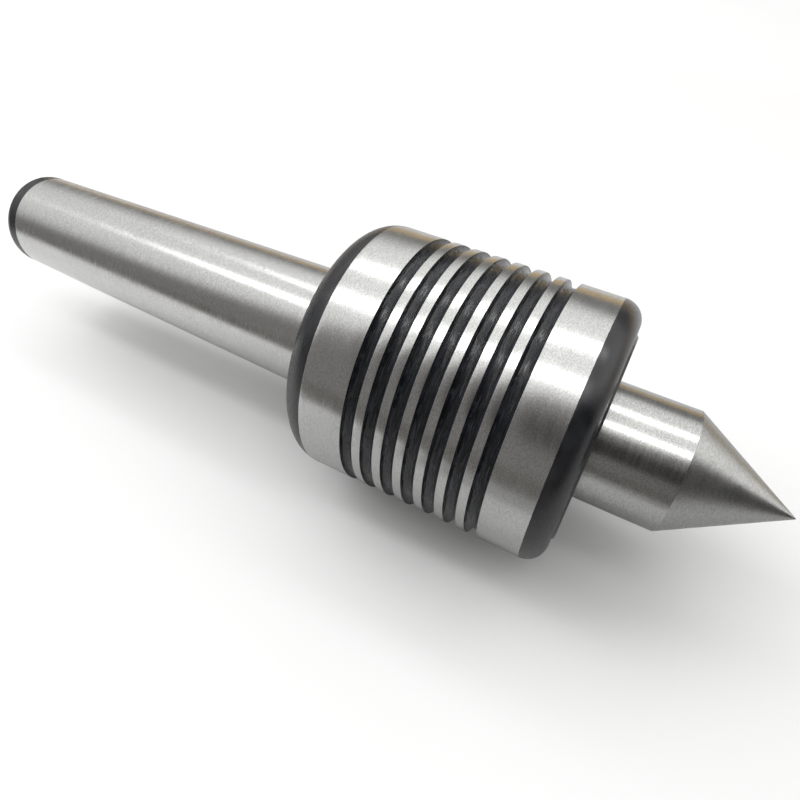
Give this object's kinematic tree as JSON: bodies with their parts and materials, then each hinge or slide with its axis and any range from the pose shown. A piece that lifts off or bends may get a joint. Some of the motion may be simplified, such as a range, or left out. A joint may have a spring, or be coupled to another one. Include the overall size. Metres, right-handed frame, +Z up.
{
  "type": "live center",
  "caption": "Lathe live center: hardened 60 degree point turning in bearings inside a grooved round housing with a one-piece Morse taper shank.",
  "frame": {"origin": "on the axis at the gauge plane of the Morse taper", "axes": "+X along the axis towards the point, +Z up as the center lies in the tailstock; the object is round, so Y and Z are free"},
  "size_m": [0.2165, 0.062, 0.062],
  "materials": {
    "ground_steel": "cylindrically ground steel, black oxide left in the grooves and on the rounded edges",
    "polished_steel": "fine-ground hardened steel",
    "black_oxide": "black oxide, satin, lightly oiled",
    "bearing_steel": "ground bearing steel",
    "bearing_ball": "polished bearing steel",
    "cage_brass": "machined brass",
    "plain_steel": "bright cold-rolled steel",
    "seal_rubber": "oil-resistant rubber, matte"
  },
  "bodies": {
    "housing": {"body": "ground_steel", "front_cover": "black_oxide", "cover_o_ring": "seal_rubber", "shaft_seal": "seal_rubber", "front_outer_ring": "bearing_steel", "middle_outer_ring": "bearing_steel", "thrust_housing_washer": "bearing_steel", "thrust_shim": "plain_steel", "needle_cup": "bearing_steel"},
    "rotor": {"spindle": "polished_steel", "bearing_locknut": "black_oxide", "locknut_tab_washer": "plain_steel", "front_inner_ring": "bearing_steel", "middle_inner_ring": "bearing_steel", "thrust_shaft_washer": "bearing_steel"},
    "front_ball_set": {"front_balls": "bearing_ball", "front_cage": "cage_brass"},
    "middle_ball_set": {"middle_balls": "bearing_ball", "middle_cage": "cage_brass"},
    "thrust_ball_set": {"thrust_balls": "bearing_ball", "thrust_cage": "cage_brass"},
    "needle_set": {"needle_rollers": "bearing_ball", "needle_cage": "plain_steel"}
  },
  "joints": [
    {"name": "spindle_spin", "type": "hinge", "parent": "housing", "child": "rotor", "pos_m": [0.05, 0, 0], "axis": [1, 0, 0], "continuous": true},
    {"name": "front_balls_orbit", "type": "hinge", "parent": "housing", "child": "front_ball_set", "pos_m": [0.057, 0, 0], "axis": [1, 0, 0], "continuous": true},
    {"name": "middle_balls_orbit", "type": "hinge", "parent": "housing", "child": "middle_ball_set", "pos_m": [0.048, 0, 0], "axis": [1, 0, 0], "continuous": true},
    {"name": "thrust_balls_orbit", "type": "hinge", "parent": "housing", "child": "thrust_ball_set", "pos_m": [0.032, 0, 0], "axis": [1, 0, 0], "continuous": true},
    {"name": "needles_orbit", "type": "hinge", "parent": "housing", "child": "needle_set", "pos_m": [-0.01, 0, 0], "axis": [1, 0, 0], "continuous": true}
  ],
  "couplings": [
    {"joint": "front_balls_orbit", "follows": "spindle_spin", "ratio": 0.431},
    {"joint": "middle_balls_orbit", "follows": "spindle_spin", "ratio": 0.431},
    {"joint": "thrust_balls_orbit", "follows": "spindle_spin", "ratio": 0.5},
    {"joint": "needles_orbit", "follows": "spindle_spin", "ratio": 0.4412}
  ]
}
